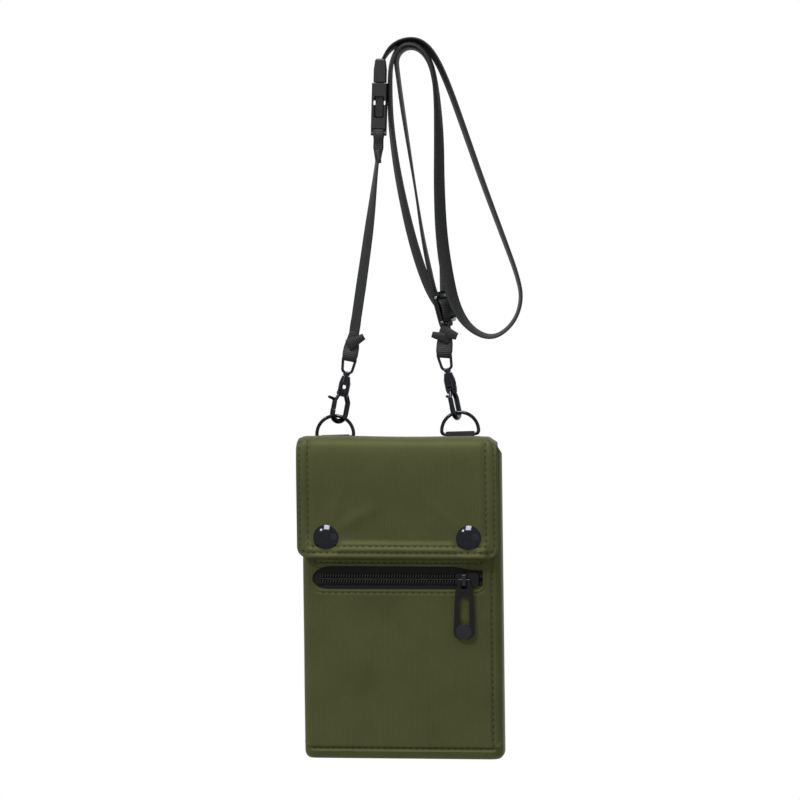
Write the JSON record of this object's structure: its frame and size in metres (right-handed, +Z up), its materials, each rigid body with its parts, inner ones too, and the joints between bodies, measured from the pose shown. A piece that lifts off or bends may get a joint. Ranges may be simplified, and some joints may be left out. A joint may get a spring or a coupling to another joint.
{
  "type": "hanging phone pouch",
  "caption": "Soft upright phone pouch with a snap flap and zip pocket, clipped by D-rings and swivel hooks to a narrow webbing neck strap with buckle and adjuster.",
  "frame": {"origin": "underside of the strap bundle where a peg holds it up", "axes": "+Z up, -Y the pouch's front, +X to the right seen from the front"},
  "size_m": [0.1241, 0.0351, 0.4048],
  "materials": {
    "shell_fabric": "olive nylon twill",
    "lining_fabric": "thin nylon lining",
    "webbing": "black woven webbing",
    "zip_tape": "black zip tape",
    "zip_nylon": "black nylon teeth",
    "black_nickel": "black nickel plate",
    "painted_black": "black enamel",
    "black_plastic": "moulded plastic"
  },
  "bodies": {
    "strap": {"strap_long": "webbing", "strap_loop": "webbing", "strap_left": "webbing", "strap_end_left": "webbing", "strap_end_right": "webbing", "swivel_eye_left": "black_nickel", "swivel_eye_right": "black_nickel", "d_ring_left": "black_nickel", "d_ring_right": "black_nickel", "buckle_plug": "black_plastic"},
    "pouch": {"front_panel": "shell_fabric", "gusset": "shell_fabric", "back_panel": "shell_fabric", "lining": "lining_fabric", "pocket_bag": "lining_fabric", "snap_stud_left": "black_nickel", "snap_stud_right": "black_nickel", "snap_post_left": "black_nickel", "snap_post_right": "black_nickel", "zip_tape_upper": "zip_tape", "zip_tape_lower": "zip_tape", "zip_teeth_upper": "zip_nylon", "zip_teeth_lower": "zip_nylon", "zip_top_stops": "painted_black", "zip_bottom_stop": "painted_black", "ring_tab_left": "webbing", "ring_tab_right": "webbing"},
    "flap_bridge": {"flap_bridge": "shell_fabric"},
    "flap": {"flap_panel": "shell_fabric", "flap_lining": "lining_fabric", "snap_cap_left": "black_nickel", "snap_cap_right": "black_nickel", "snap_socket_left": "black_nickel", "snap_socket_right": "black_nickel"},
    "zip_slider": {"zip_slider": "painted_black"},
    "zip_pull": {"zip_pull": "painted_black"},
    "hook_left": {"hook_body_left": "black_nickel", "gate_pin_left": "black_nickel", "gate_spring_left": "black_nickel"},
    "hook_right": {"hook_body_right": "black_nickel", "gate_pin_right": "black_nickel", "gate_spring_right": "black_nickel"},
    "gate_left": {"gate_left": "black_nickel"},
    "gate_right": {"gate_right": "black_nickel"},
    "buckle_socket": {"buckle_socket": "black_plastic", "strap_end_buckle": "webbing"},
    "adjuster": {"adjuster": "black_nickel"}
  },
  "joints": [
    {"name": "pouch_swing", "type": "hinge", "parent": "strap", "child": "pouch", "pos_m": [-0.00665, 0, -0.2169], "axis": [0.9995, 0, 0.0311], "range_deg": [-5, 60]},
    {"name": "flap_lift", "type": "hinge", "parent": "pouch", "child": "flap_bridge", "pos_m": [-0.00225, -0.0041, -0.2185], "axis": [-1, 0, 0], "range_deg": [0, 75]},
    {"name": "flap_unfold", "type": "hinge", "parent": "flap_bridge", "child": "flap", "pos_m": [-0.00425, -0.0247, -0.2254], "axis": [-1, 0, 0], "range_deg": [0, 90]},
    {"name": "zip_slide", "type": "slide", "parent": "pouch", "child": "zip_slider", "axis": [-1, 0, 0], "range_m": [0, 0.0758], "deforming": ["zip_teeth_upper", "zip_teeth_lower"]},
    {"name": "zip_pull_swing", "type": "hinge", "parent": "zip_slider", "child": "zip_pull", "pos_m": [0.03305, -0.0232, -0.2966], "axis": [-1, 0, 0], "range_deg": [0, 120]},
    {"name": "hook_swivel_left", "type": "hinge", "parent": "strap", "child": "hook_left", "pos_m": [-0.04065, 0, -0.20883], "axis": [0.1857, 0, 0.9826], "range_deg": [-3, 90]},
    {"name": "gate_press_left", "type": "hinge", "parent": "hook_left", "child": "gate_left", "pos_m": [-0.03914, -0.00148, -0.19283], "axis": [0.6948, -0.7071, -0.1313], "range_deg": [0, 22], "stiffness_Nm_per_rad": 0.02, "springref_deg": -20.05},
    {"name": "hook_swivel_right", "type": "hinge", "parent": "strap", "child": "hook_right", "pos_m": [0.02707, 0, -0.20667], "axis": [-0.2079, 0, 0.9781], "range_deg": [-30, 60]},
    {"name": "gate_press_right", "type": "hinge", "parent": "hook_right", "child": "gate_right", "pos_m": [0.02321, -0.00203, -0.19113], "axis": [0.9448, -0.2588, 0.2008], "range_deg": [0, 22], "stiffness_Nm_per_rad": 0.02, "springref_deg": -20.05},
    {"name": "buckle_release", "type": "slide", "parent": "strap", "child": "buckle_socket", "axis": [-0.0262, 0, -0.9997], "range_m": [0, 0.0198], "deforming": ["strap_left"]},
    {"name": "adjuster_slide", "type": "slide", "parent": "strap", "child": "adjuster", "axis": [-0.2588, 0, 0.9659], "range_m": [0, 0.012], "deforming": ["strap_long", "strap_loop", "strap_end_right"]}
  ],
  "couplings": [
    {"joint": "flap_unfold", "follows": "flap_lift", "ratio": 1.2}
  ]
}
